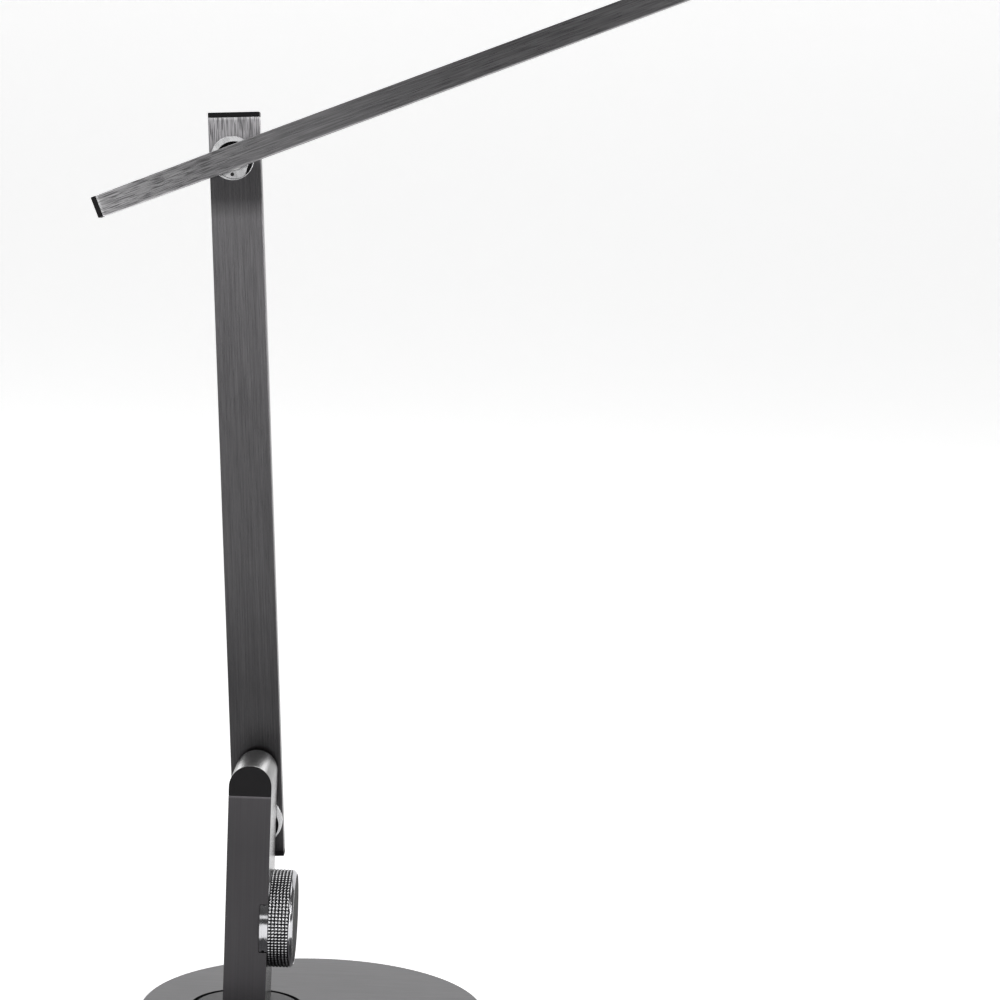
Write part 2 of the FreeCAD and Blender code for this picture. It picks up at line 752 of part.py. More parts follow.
def stem_chassis():
    side = chassis_side
    foot_top = d.base_height + d.chassis_foot
    foot = box((-side, side), (-chassis_back, chassis_back), (d.base_height, foot_top))
    column = box((-side, column_face), (-chassis_back + 3, chassis_back), (foot_top - 1, chassis_top))
    block = box((-side, side), (block_front, chassis_back),
                (d.lower_pivot_z - d.shaft_head - 3, chassis_top))
    pivot = (pivot_in_stem, d.lower_pivot_z)
    tools = [
        rod("y", d.shaft_shoulder + d.seat_gap, block_front - 1, chassis_back + 1, pivot),
        rod("z", side - 0.2, d.base_height - 1, d.base_height + 2.2),
        rod("z", d.spindle_bore, d.base_height - 1, foot_top + 1),
    ]
    for direction in (-1, 1):
        tools.append(rod("z", d.screw_radius + d.seat_gap, d.base_height - 1, d.base_height + 4,
                         (ZERO, chassis_screw_place * direction)))
    return cut(fuse(foot, column, block), *tools)


def chassis_screws():
    start = disc_bottom + 0.1
    return group(*[screw("z", start, as_size(5.2), (ZERO, chassis_screw_place * side))
                   for side in (-1, 1)])


def dimmer_body():
    centre = (ZERO, d.knob_place)
    can = rod("x", d.dimmer_radius, column_face, bracket_front, centre)
    bush = rod("x", d.dimmer_bush, bracket_front - 1, bracket_front + 4.2, centre)
    tags = box((column_face + 1, column_face + 2), (-4, 4),
               (d.knob_place - d.dimmer_radius - 4, d.knob_place))
    bore = rod("x", d.dimmer_shaft + d.run_fit, column_face + 2.5, bracket_front + 5, centre)
    return cut(fuse(can, bush, tags), bore)


def dimmer_bracket():
    half = d.bracket_half_width
    sheet_metal = d.bracket_thickness
    low = d.knob_place - half
    high = d.knob_place + half
    plate = box((bracket_front, bracket_front + sheet_metal), (-half, half), (low, high))
    pieces = [plate]
    for side in (-1, 1):
        outer = half * side
        inner = (half - sheet_metal) * side
        pair = (inner, outer) if side > 0 else (outer, inner)
        pieces.append(box((column_face, bracket_front + 0.5), pair, (low, high)))
    hole = rod("x", d.dimmer_bush + d.seat_gap, bracket_front - 1, bracket_front + 3,
               (ZERO, d.knob_place))
    return cut(fuse(*pieces), hole)


def dimmer_nut():
    start = bracket_front + d.bracket_thickness
    centre = (ZERO, d.knob_place)
    return cut(hexagon("x", d.dimmer_bush * 1.7, start, start + 2, centre),
               rod("x", d.dimmer_bush + d.run_fit, start - 1, start + 3, centre))


def driver_board():
    under = column_face + 1.2
    face = under + d.board_thickness
    low = d.base_height + d.chassis_foot + 2
    high = d.knob_place - d.bracket_half_width - 4
    pieces = [box((under, face), (-14, 14), (low, high))]
    for y in (-11.5, 11.5):
        for z in (low + 2.5, high - 2.5):
            pieces.append(rod("x", 1.6, column_face, under, (as_size(y), z)))
    pieces.append(box((face, face + 1.4), (-6, 0), (low + 5, low + 11)))
    pieces.append(rod("x", 3.0, face, face + 4.5, (as_size(7), low + 12)))
    pieces.append(box((face, face + 3), (-11, -8), (low + 8, high - 4)))
    return fuse(*pieces)


def stem_lead():
    side = -(d.bracket_half_width + d.lead_radius + 0.2)
    return lead([
        (ZERO, ZERO, spindle_end + 3),
        (ZERO, ZERO, d.base_height + 9),
        (bracket_front + 1, side * 0.6, d.base_height + 23),
        (bracket_front + 1, side, d.base_height + 37),
        (bracket_front + 1, side, d.knob_place + 20),
        (pivot_in_stem, side * 0.5, d.lower_pivot_z - 9),
        (pivot_in_stem, block_front - 5.5, d.lower_pivot_z),
        (pivot_in_stem, block_front + 4, d.lower_pivot_z),
    ])


def lower_pivot_shaft():
    centre = (pivot_in_stem, d.lower_pivot_z)
    head = rod("y", d.shaft_head, block_front - d.shaft_head_height, block_front, centre)
    shoulder = rod("y", d.shaft_shoulder, block_front - 1, chassis_back, centre)
    collar = rod("y", spacer_radius, chassis_back - 1, hub_front, centre)
    shank = rod("y", d.pivot_radius, hub_front - 1, nut_back, centre)
    bore = rod("y", d.pivot_bore, block_front - 5, nut_back + 1, centre)
    return cut(fuse(head, shoulder, collar, shank), bore)


def clamp_nut(centre):
    """A round clamp nut with two spanner flats."""
    flat = d.clamp_nut_radius * 0.82
    x, z = centre
    body = rod("y", d.clamp_nut_radius, nut_front, nut_back, centre)
    flats = box((x - 20, x + 20), (nut_front - 1, nut_back + 1), (z - flat, z + flat))
    bore = rod("y", d.pivot_radius + d.run_fit, nut_front - 1, nut_back + 1, centre)
    return cut(common(body, flats), bore)


def build_stem():
    node("swivel_disc", swivel_disc(), "stem")
    node("swivel_spindle", swivel_spindle(), "stem")
    node("swivel_washer", swivel_washer(), "stem")
    node("swivel_nut", swivel_nut(), "stem")
    node("swivel_stop_pin", swivel_stop_pin(), "stem")
    node("stem_shell", stem_shell(), "stem")
    node("stem_front_panel", panel(-stem_back, -shell_back), "stem")
    node("stem_back_panel", stem_back_panel(), "stem")
    node("stem_cap_front", stem_cap(-stem_back, -shell_back, -shell_back - 0.5, -shell_back + 3), "stem")
    node("stem_cap_back", stem_cap(shell_back, stem_back, shell_back - 3, shell_back + 0.5), "stem")
    node("stem_chassis", stem_chassis(), "stem")
    node("chassis_screws", chassis_screws(), "stem")
    node("dimmer_body", dimmer_body(), "stem")
    node("dimmer_bracket", dimmer_bracket(), "stem")
    node("dimmer_nut", dimmer_nut(), "stem")
    node("driver_board", driver_board(), "stem")
    node("stem_lead", stem_lead(), "stem")
    node("lower_pivot_shaft", lower_pivot_shaft(), "stem")
    node("lower_clamp_nut", clamp_nut((pivot_in_stem, d.lower_pivot_z)), "stem")


# --- dimmer knob ------------------------------------------------------------------------------

def knob_drum():
    """A cup turned about the knob's axis: hub, web and rim, with one groove round the drum."""
    hub = d.dimmer_shaft * 2.4
    bore = d.dimmer_shaft + d.seat_gap
    rim_inner = sleeve_core - 2.2
    groove_start = drum_start + 1.3
    groove_end = groove_start + 1.5
    groove_radius = d.drum_radius - d.drum_groove
    sleeve_seat = sleeve_core - d.seat_gap
    cup = revolved([
        (drum_start, bore),
        (drum_start, d.drum_radius),
        (groove_start, d.drum_radius),
        (groove_start, groove_radius),
        (groove_end, groove_radius),
        (groove_end, d.drum_radius),
        (sleeve_start, d.drum_radius),
        (sleeve_start, sleeve_seat),
        (sleeve_end, sleeve_seat),
        (sleeve_end, rim_inner),
        (knob_cup_floor, rim_inner),
        (knob_cup_floor, hub),
        (sleeve_end - 1, hub),
        (sleeve_end - 1, bore),
    ], "H_Axis")
    grub = rod("z", d.screw_radius + d.run_fit, ZERO, hub + 2, (sleeve_start + 5, ZERO))
    return cut(cup, grub)


def knob_sleeve():
    """The grip's sleeve, turned with one ridge for each row of beads."""
    rows = 6
    pitch = d.sleeve_length / rows
    low = d.knob_radius - d.bead_height
    points = [(sleeve_start, sleeve_core), (sleeve_start, low)]
    for row in range(rows):
        points.append((sleeve_start + pitch * (row + 0.5), d.knob_radius))
        points.append((sleeve_start + pitch * (row + 1), low))
    points.append((sleeve_end, sleeve_core))
    return revolved(points, "H_Axis")


def knob_bezel():
    outer = d.knob_radius - 0.2
    inner = d.knob_radius - 2.2
    return revolved([
        (sleeve_end, inner - 1.5),
        (sleeve_end, outer),
        (sleeve_end + d.bezel_length * 0.35, outer),
        (knob_end, outer - d.bezel_slope),
        (knob_end, inner),
        (knob_end - d.face_thickness, inner),
        (knob_end - d.face_thickness, inner - 1.5),
    ], "H_Axis")


def knob_face():
    rim = d.knob_radius - 2.2 - d.seat_gap
    return revolved([
        (knob_end - d.face_thickness, ZERO),
        (knob_end - d.face_thickness, rim),
        (knob_end - 0.3, rim),
        (knob_end, rim - 0.3),
        (knob_end, ZERO),
    ], "H_Axis")


def knob_grub_screw():
    hub = d.dimmer_shaft * 2.4
    centre = (sleeve_start + 5, ZERO)
    return cut(rod("z", d.screw_radius, d.dimmer_shaft, hub, centre),
               hexagon("z", d.screw_radius * 0.55, hub - 1.5, hub + 1, centre))


def dimmer_shaft():
    """The dimmer's round shaft, which the grub screw bears on."""
    return group(rod("x", d.dimmer_shaft, column_face + 2.8, dimmer_shaft_end))


def build_knob():
    node("knob_drum", knob_drum(), "knob")
    node("knob_sleeve", knob_sleeve(), "knob")
    node("knob_bezel", knob_bezel(), "knob")
    node("knob_face", knob_face(), "knob")
    node("knob_grub_screw", knob_grub_screw(), "knob")
    node("dimmer_shaft", dimmer_shaft(), "knob")


# --- bar --------------------------------------------------------------------------------------

upper_pivot = (d.upper_pivot_shift, d.pivot_span)
lower_pivot = (ZERO, ZERO)


def bar_tube():
    half = d.bar_width / 2
    start = -d.bar_below + d.bar_cap
    end = bar_top - d.bar_cap
    outside = padded("XY_Plane",
                     [(-half, bar_front), (half, bar_front), (half, bar_back), (-half, bar_back)],
                     start, end - start, d.bar_edge, Vector(0, 0, 1))
    hollow = box((-half + d.bar_wall, half - d.bar_wall),
                 (bar_front + d.bar_wall, bar_back - d.bar_wall), (start - 1, end + 1))
    holes = [rod("y", bush_hole, bar_front - 1, wall_inside + 1, centre)
             for centre in (lower_pivot, upper_pivot)]
    return cut(outside, hollow, *holes)


def bar_end_cap(start, end, plug_start, plug_end):
    half = d.bar_width / 2
    fit = d.bar_wall + 0.15
    cap = padded("XY_Plane",
                 [(-half, bar_front), (half, bar_front), (half, bar_back), (-half, bar_back)],
                 start, end - start, d.bar_edge, Vector(0, 0, 1))
    plug = box((-half + fit, half - fit), (bar_front + fit, bar_back - fit), (plug_start, plug_end))
    hollow = box((-half + fit + 1.5, half - fit - 1.5), (bar_front + fit + 1.2, bar_back - fit - 1.2),
                 (plug_start - 0.01, plug_end + 0.01))
    return fuse(cap, cut(plug, hollow))


def joint_cup(pivot, radius, recess_x, recess_z):
    """A polished cup whose round recess is set off centre, screwed to the bar's front."""
    x, z = pivot
    recess = (x + recess_x, z + recess_z)
    cup = rod("y", radius, cup_front, bar_front, pivot)
    hollow = rod("y", d.recess_radius, cup_front - 1, recess_floor, recess)
    bore = rod("y", bush_hole, cup_front - 1, bar_front + 1, pivot)
    screw_hole = rod("y", d.screw_radius * 0.6, cup_front, bar_front + 1, cup_screw_place(recess))
    return cut(cup, hollow, bore, screw_hole)


def cup_screw_place(recess):
    x, z = recess
    return (x - 1.2, z - (d.recess_radius - 2.6))


def cup_liner(pivot, recess_x, recess_z):
    x, z = pivot
    recess = (x + recess_x, z + recess_z)
    return cut(rod("y", d.recess_radius - d.seat_gap, liner_front, recess_floor, recess),
               rod("y", bush_hole, liner_front - 1, recess_floor + 1, pivot),
               rod("y", d.screw_radius * 0.6, liner_front - 1, recess_floor + 1, cup_screw_place(recess)))


def hub_plate(pivot, recess_x, recess_z, openings):
    """The polished plate in a cup, with its openings cut away down to the black liner."""
    x, z = pivot
    recess = (x + recess_x, z + recess_z)
    plate = rod("y", d.recess_radius - d.seat_gap, hub_front, liner_front, recess)
    bore = rod("y", bush_hole, hub_front - 1, liner_front + 1, pivot)
    screw_hole = rod("y", d.screw_radius * 0.6 + d.seat_gap, hub_front - 1, liner_front + 1,
                     cup_screw_place(recess))
    return cut(plate, bore, screw_hole, *openings)


def tilted_box(across, y, along, angle, centre):
    """A block drawn round a centre and turned there, anticlockwise as seen from the front."""
    item = box(across, y, along)
    x, z = centre
    share_x = as_size(round(math.cos(math.radians(angle)), 6))
    share_z = as_size(round(math.sin(math.radians(angle)), 6))
    item.Placement.Rotation = FreeCAD.Rotation(Vector(0, -1, 0), angle)
    place(item, x + across[0] * share_x - along[0] * share_z, y[0],
          z + across[0] * share_z + along[0] * share_x)
    return item


def upper_openings():
    """One opening above the arm, square to it, and one low on the right."""
    reach = (hub_front - 1, liner_front + 1)
    square_to_arm = (d.arm_angle - d.bar_lean).value
    above = tilted_box((-d.opening_left, d.opening_right), reach, (d.opening_low, opening_reach),
                       square_to_arm, upper_pivot)
    right = tilted_box((d.side_opening, opening_reach), reach, (-d.recess_radius, d.recess_radius),
                       d.side_opening_turn.value, upper_pivot)
    return above, right


def lower_openings():
    x, z = lower_pivot
    return (box((x + d.side_opening, x + opening_reach), (hub_front - 1, liner_front + 1),
                (z - d.lower_cup_radius, z + d.lower_cup_radius)),)


def joint_screws():
    """One small black screw through each cup."""
    places = [
        cup_screw_place((d.lower_recess_x, d.lower_recess_z)),
        cup_screw_place((upper_pivot[0] + d.upper_recess_x, upper_pivot[1] + d.upper_recess_z)),
    ]
    pieces = [rod("y", d.screw_radius * 0.6 - 0.05, hub_front + 0.2, bar_front, centre)
              for centre in places]
    return group(*pieces)


def pivot_bush(centre):
    sleeve = rod("y", bush_outer, hub_front, friction_front, centre)
    flange = rod("y", d.bush_flange_radius, wall_inside, friction_front, centre)
    bore = rod("y", d.pivot_radius + d.run_fit, hub_front - 1, friction_front + 1, centre)
    return cut(fuse(sleeve, flange), bore)


def friction_discs():
    return group(*[ring("y", d.bush_flange_radius, d.pivot_radius + d.seat_gap,
                        friction_front, nut_front, centre)
                   for centre in (lower_pivot, upper_pivot)])


def bar_lead():
    depth = bar_back - d.bar_wall - d.lead_radius - 0.2
    return lead([
        (ZERO, depth, ZERO),
        (ZERO, depth, d.pivot_span * 0.3),
        (ZERO + 2, depth, d.pivot_span * 0.6),
        (d.upper_pivot_shift, depth, d.pivot_span),
    ], 120.0)


def build_bar():
    node("bar_tube", bar_tube(), "bar")
    top = bar_top - d.bar_cap
    bottom = -d.bar_below + d.bar_cap
    node("bar_top_cap", bar_end_cap(top, bar_top, top - d.plug_depth, top + 0.5), "bar")
    node("bar_bottom_cap", bar_end_cap(-d.bar_below, bottom, bottom - 0.5, bottom + d.plug_depth), "bar")
    lower = (lower_pivot, d.lower_recess_x, d.lower_recess_z)
    upper = (upper_pivot, d.upper_recess_x, d.upper_recess_z)
    node("lower_joint_cup", joint_cup(lower[0], d.lower_cup_radius, *lower[1:]), "bar")
    node("upper_joint_cup", joint_cup(upper[0], d.upper_cup_radius, *upper[1:]), "bar")
    node("lower_cup_liner", cup_liner(*lower), "bar")
    node("upper_cup_liner", cup_liner(*upper), "bar")
    node("lower_hub_plate", hub_plate(*lower, lower_openings()), "bar")
    node("upper_hub_plate", hub_plate(*upper, upper_openings()), "bar")
    node("joint_screws", joint_screws(), "bar")
    node("lower_pivot_bush", pivot_bush(lower_pivot), "bar")
    node("upper_pivot_bush", pivot_bush(upper_pivot), "bar")
    node("friction_discs", friction_discs(), "bar")
    node("bar_lead", bar_lead(), "bar")


# --- arm --------------------------------------------------------------------------------------

def arm_profile(tail_x, head_x, inset):
    """The arm's side outline: level from the pivot to the head, narrowing to the tail."""
    slope = (d.arm_height - d.tail_height) / 2 / d.tail_length
    high = d.arm_height / 2 - inset
    tail = high - slope * tail_x
    return [(-tail_x, -tail), (ZERO, -high), (head_x, -high), (head_x, high), (ZERO, high), (-tail_x, tail)]


def arm_tube():
    tail_x = d.tail_length - d.arm_cap
    head_x = d.head_length - d.arm_cap
    outside = padded("XZ_Plane", arm_profile(tail_x, head_x, ZERO), -arm_back, d.arm_thickness,
                     d.arm_edge, Vector(1, 0, 0))
    hollow = padded("XZ_Plane", arm_profile(tail_x + 1, head_x + 1, d.arm_wall),
                    -(arm_back - d.arm_wall), d.arm_thickness - d.arm_wall * 2)
    hole = rod("y", d.pivot_radius + d.seat_gap, arm_back - d.arm_wall - 1, arm_back + 1)
    half_lamp = d.lamp_width / 2
    slot = box((lamp_start, lamp_end), (arm_centre - half_lamp, arm_centre + half_lamp),
               (-d.arm_height / 2 - 1, -arm_inner + 0.5))
    return cut(outside, hollow, hole, slot)


def arm_end_cap(start, end, height_start, height_end, plug_start, plug_end, plug_half):
    cap = padded("XZ_Plane",
                 [(start, -height_start), (end, -height_end), (end, height_end), (start, height_start)],
                 -arm_back, d.arm_thickness)
    fit = d.arm_wall + 0.15
    plug = box((plug_start, plug_end), (arm_front + fit, arm_back - fit), (-plug_half, plug_half))
    return fuse(cap, plug)


def arm_tail_cap():
    slope = (d.arm_height - d.tail_height) / 2 / d.tail_length
    inner_x = d.tail_length - d.arm_cap
    plug_half = d.tail_height / 2 - d.arm_wall - 0.15
    return arm_end_cap(-d.tail_length, -inner_x, d.tail_height / 2, d.arm_height / 2 - slope * inner_x,
                       -inner_x - 0.5, -inner_x + d.plug_depth, plug_half)


def arm_head_cap():
    inner_x = d.head_length - d.arm_cap
    high = d.arm_height / 2
    return arm_end_cap(inner_x, d.head_length, high, high,
                       inner_x - d.plug_depth * 0.7, inner_x + 0.5, arm_inner - 0.15)


def upper_pivot_shaft():
    """A shaft with a square head that seats in the arm's hollow."""
    seat = arm_back - d.arm_wall
    head = box((as_size(-9), as_size(9)), (seat - 4, seat), (-arm_inner + 0.15, arm_inner - 0.15))
    shank = rod("y", d.pivot_radius, seat - 1, nut_back)
    bore = rod("y", d.pivot_bore, seat - 5, nut_back + 1)
    return cut(fuse(head, shank), bore)


def upper_thrust_washer():
    return ring("y", spacer_radius, d.pivot_radius + d.seat_gap, arm_back, hub_front)


def heat_strip():
    half = d.arm_thickness / 2 - d.arm_wall - d.seat_gap
    low = board_seat + d.board_thickness
    return group(box((lamp_start - 6, lamp_end + 1), (arm_centre - half, arm_centre + half),
                     (low, low + d.heat_strip_height)))


def led_board():
    half = d.lamp_width / 2 - 0.2
    return group(box((lamp_start - 4, lamp_end - 0.5), (arm_centre - half, arm_centre + half),
                     (board_seat, board_seat + d.board_thickness)))


def led_chips():
    pitch = (d.lamp_length - 12) / (LED_COUNT - 1)
    half = d.led_size / 2
    chips = []
    for index in range(LED_COUNT):
        x = lamp_start + 6 + pitch * index
        chips.append(box((x - half, x + half), (arm_centre - half, arm_centre + half),
                         (board_seat - d.led_height, board_seat)))
    return group(*chips)


def led_diffuser():
    """A shallow trough whose floor closes the slot and whose sides stand against the board."""
    half = d.lamp_width / 2 - d.seat_gap
    bottom = -d.arm_height / 2
    outside = box((lamp_start + 0.1, lamp_end - 0.1), (arm_centre - half, arm_centre + half),
                  (bottom, board_seat))
    inside = box((lamp_start + 1.1, lamp_end - 1.1), (arm_centre - half + 0.8, arm_centre + half - 0.8),
                 (bottom + 1.0, board_seat + 1))
    return cut(outside, inside)


def arm_lead():
    y = arm_front + d.arm_wall + d.lead_radius + 0.6
    ends_at = board_seat + d.board_thickness + d.lead_radius + 0.1
    return lead([
        (ZERO - 4, y, ZERO),
        (ZERO + 46, y, ZERO + 2),
        (lamp_start * 0.5, y + 1, ZERO - 1),
        (lamp_start - 60, y, ZERO + 1),
        (lamp_start - 24, y, ends_at + 1),
        (lamp_start - 6.3, y + 1, ends_at),
    ], 60.0)


def build_arm():
    node("arm_tube", arm_tube(), "arm")
    node("arm_tail_cap", arm_tail_cap(), "arm")
    node("arm_head_cap", arm_head_cap(), "arm")
    node("upper_pivot_shaft", upper_pivot_shaft(), "arm")
    node("upper_clamp_nut", clamp_nut(lower_pivot), "arm")
    node("upper_thrust_washer", upper_thrust_washer(), "arm")
    node("heat_strip", heat_strip(), "arm")
    node("led_board", led_board(), "arm")
    node("led_chips", led_chips(), "arm")
    node("led_diffuser", led_diffuser(), "arm")
    node("arm_lead", arm_lead(), "arm")


# --- build, check and write -------------------------------------------------------------------

def check():
    for item in doc.Objects:
        if "Invalid" in item.State or "Error" in item.State:
            raise ValueError(f"{item.Name} ({item.Label}) failed: {item.State}")
    for item in nodes:
        if item.Shape.isNull() or not item.Shape.isValid() or not item.Shape.Solids:
            raise ValueError(f"{item.Label} has no valid solid")


def write():
    os.makedirs("parts", exist_ok=True)
    for item in nodes:
        item.Shape.exportStep(f"parts/{item.Label}.step")


build_base()
build_stem()
build_knob()
build_bar()
build_arm()
doc.recompute()
check()
write()
print(len(nodes), "sub-parts written")
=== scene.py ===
import json
import math
import bmesh
import bpy
from mathutils import Matrix, Vector


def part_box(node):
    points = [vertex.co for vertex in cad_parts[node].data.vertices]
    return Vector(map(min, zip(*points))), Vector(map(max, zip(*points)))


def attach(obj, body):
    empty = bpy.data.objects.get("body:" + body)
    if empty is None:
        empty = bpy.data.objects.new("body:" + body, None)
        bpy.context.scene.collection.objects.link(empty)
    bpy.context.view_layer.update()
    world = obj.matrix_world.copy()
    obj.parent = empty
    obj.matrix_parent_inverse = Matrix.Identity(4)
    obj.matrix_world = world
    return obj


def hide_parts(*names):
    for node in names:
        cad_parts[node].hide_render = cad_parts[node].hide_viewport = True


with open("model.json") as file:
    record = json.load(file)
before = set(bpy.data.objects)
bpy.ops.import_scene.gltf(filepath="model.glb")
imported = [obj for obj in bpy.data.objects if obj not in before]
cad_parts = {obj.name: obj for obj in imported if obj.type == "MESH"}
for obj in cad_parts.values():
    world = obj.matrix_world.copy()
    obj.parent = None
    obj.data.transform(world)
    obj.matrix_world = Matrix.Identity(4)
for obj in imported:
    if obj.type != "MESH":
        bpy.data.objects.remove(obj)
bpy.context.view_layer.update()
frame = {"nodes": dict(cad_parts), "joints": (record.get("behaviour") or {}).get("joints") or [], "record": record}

nodes = frame["nodes"]
joints = {joint["name"]: joint for joint in frame["joints"]}
slotOf = {part["node"]: part["material_slot"] for part in frame["record"]["subparts"]}
bodyOf = {node: body for body, names in frame["record"]["behaviour"]["bodies"].items() for node in names}
print("frame loaded:", len(nodes), "nodes")


# Camera, a little lower than the upper joint and to the right of the stem
camera = {"lens": 88.85, "sensor": 36.0, "place": (0.0661, -1.3314, 0.4399),
          "yaw": -1.13, "pitch": 5.94, "roll": 2.26}


def makeCamera(settings):
    yaw, pitch, roll = (math.radians(settings[name]) for name in ("yaw", "pitch", "roll"))
    forward = Vector((-math.sin(yaw) * math.cos(pitch), math.cos(yaw) * math.cos(pitch), -math.sin(pitch)))
    level = Vector((math.cos(yaw), math.sin(yaw), 0))
    upright = level.cross(forward)
    right = math.cos(roll) * level + math.sin(roll) * upright
    up = math.cos(roll) * upright - math.sin(roll) * level
    data = bpy.data.cameras.new("camera")
    data.lens = settings["lens"]
    data.sensor_width = settings["sensor"]
    data.clip_end = 30
    item = bpy.data.objects.new("camera", data)
    turn = Matrix((right, up, -forward)).transposed().to_4x4()
    item.matrix_world = Matrix.Translation(settings["place"]) @ turn
    bpy.context.scene.collection.objects.link(item)
    bpy.context.scene.camera = item


makeCamera(camera)


# Soft studio light and a pale sweep behind the lamp
studio = {
    "ambient": 0.09,
    "floorTone": 0.86, "sweepGlow": 0.62, "sweepBack": 5.5, "sweepRadius": 1.6, "sweepHeight": 9.0,
    "sweepHalfWidth": 10.0, "sweepFront": -6.0, "sweepSteps": 16,
    # place, aim, width, height, power
    "boxes": {
        "keyBox": ((-1.15, -1.5, 1.75), (0.0, 0.0, 0.3), 1.1, 0.9, 14.0),
        "topBox": ((0.1, 0.1, 2.3), (0.0, 0.0, 0.0), 1.6, 1.2, 14.0),
        "rightBox": ((1.5, -0.5, 0.7), (0.0, 0.0, 0.2), 0.25, 0.5, 4.0),
        "frontBox": ((-0.24, -1.7, 0.57), (-0.06, 0.0, 0.48), 0.3, 0.24, 0.26),
        "knobBox": ((0.6, -1.2, 0.33), (0.0, 0.0, 0.07), 0.4, 0.6, 3.2),
    },
}


def makeLights(settings):
    for name, (place, aim, width, height, power) in settings["boxes"].items():
        data = bpy.data.lights.new(name, "AREA")
        data.shape = "RECTANGLE"
        data.size = width
        data.size_y = height
        data.energy = power
        item = bpy.data.objects.new(name, data)
        item.location = place
        item.rotation_euler = (Vector(aim) - Vector(place)).to_track_quat("-Z", "Y").to_euler()
        bpy.context.scene.collection.objects.link(item)
    world = bpy.data.worlds.new("studio")
    world.use_nodes = True
    background = world.node_tree.nodes["Background"]
    background.inputs["Color"].default_value = (1.0, 1.0, 1.0, 1.0)
    background.inputs["Strength"].default_value = settings["ambient"]
    bpy.context.scene.world = world
    bpy.context.scene.view_settings.view_transform = "Standard"


makeLights(studio)


class Value:
    # a socket that can be used in Python expressions
    def __init__(self, paint, socket):
        self.paint = paint
        self.socket = socket

    def maths(self, operation, *others):
        inputs = {index: item for index, item in enumerate(others)}
        return self.paint.node("ShaderNodeMath", {"operation": operation}, inputs)

    def __add__(self, other):
        return self.maths("ADD", self, other)

    def __radd__(self, other):
        return self.maths("ADD", other, self)

    def __sub__(self, other):
        return self.maths("SUBTRACT", self, other)

    def __rsub__(self, other):
        return self.maths("SUBTRACT", other, self)

    def __mul__(self, other):
        return self.maths("MULTIPLY", self, other)

    def __rmul__(self, other):
        return self.maths("MULTIPLY", other, self)


class Paint:
    # one material and the nodes in it
    def __init__(self, name):
        self.material = bpy.data.materials.new(name)
        self.material.use_nodes = True
        self.tree = self.material.node_tree
        self.shader = self.tree.nodes["Principled BSDF"]

    def node(self, kind, settings=None, inputs=None, output=0):
        item = self.tree.nodes.new(kind)
        for name, setting in (settings or {}).items():
            if name == "stops":
                for index, (place, tone) in enumerate(setting):
                    ramp = item.color_ramp.elements
                    stop = ramp[index] if index < len(ramp) else ramp.new(place)
                    stop.position = place
                    stop.color = (*tone, 1.0)
            else:
                setattr(item, name, setting)
        for name, value in (inputs or {}).items():
            self.feed(item.inputs[name], value)
        return Value(self, item.outputs[output])

    def feed(self, socket, value):
        if isinstance(value, Value):
            self.tree.links.new(value.socket, socket)
        elif isinstance(value, tuple) and socket.type == "RGBA":
            socket.default_value = (*value, 1.0)
        else:
            socket.default_value = value

    def places(self, turn, scale):
        # the lamp's own metres, turned about the front-to-back axis, then stretched
        raw = self.node("ShaderNodeTexCoord", None, None, "Object")
        upright = self.node("ShaderNodeMapping", None,
                            {"Vector": raw, "Rotation": (0.0, math.radians(turn), 0.0)})
        return self.node("ShaderNodeMapping", None, {"Vector": upright, "Scale": scale})

    def noise(self, turn, scale, detail=3.0, roughness=0.55):
        return self.node("ShaderNodeTexNoise", None,
                         {"Vector": self.places(turn, scale), "Scale": 1.0, "Detail": detail,
                          "Roughness": roughness})

    def spread(self, value, low, high, newLow, newHigh):
        return self.node("ShaderNodeMapRange", None, {"Value": value, "From Min": low, "From Max": high,
                                                      "To Min": newLow, "To Max": newHigh})

    def blend(self, factor, first, second):
        return self.node("ShaderNodeMix", {"data_type": "RGBA"}, {0: factor, 6: first, 7: second}, 2)

    def bump(self, height, depth, strength=1.0):
        return self.node("ShaderNodeBump", None, {"Strength": strength, "Distance": depth, "Height": height})

    def finish(self, **inputs):
        names = {"colour": "Base Color", "metal": "Metallic", "rough": "Roughness", "normal": "Normal",
                 "coat": "Coat Weight", "coatRough": "Coat Roughness", "through": "Transmission Weight",
                 "under": "Subsurface Weight", "glow": "Emission Color", "glowPower": "Emission Strength",
                 "gloss": "IOR"}
        for name, value in inputs.items():
            self.feed(self.shader.inputs[names[name]], value)
        return self.material


barLean = 3.6
armRise = 22.4
grainAcross = 1500.0     # grain lines to a metre
grainAlong = 26.0


grainBump = {"spread": 0.22, "smudge": 0.06, "fineness": 2.7}
scratch = {"across": 2300.0, "along": 110.0, "starts": 0.5, "full": 0.6, "shade": 0.4}


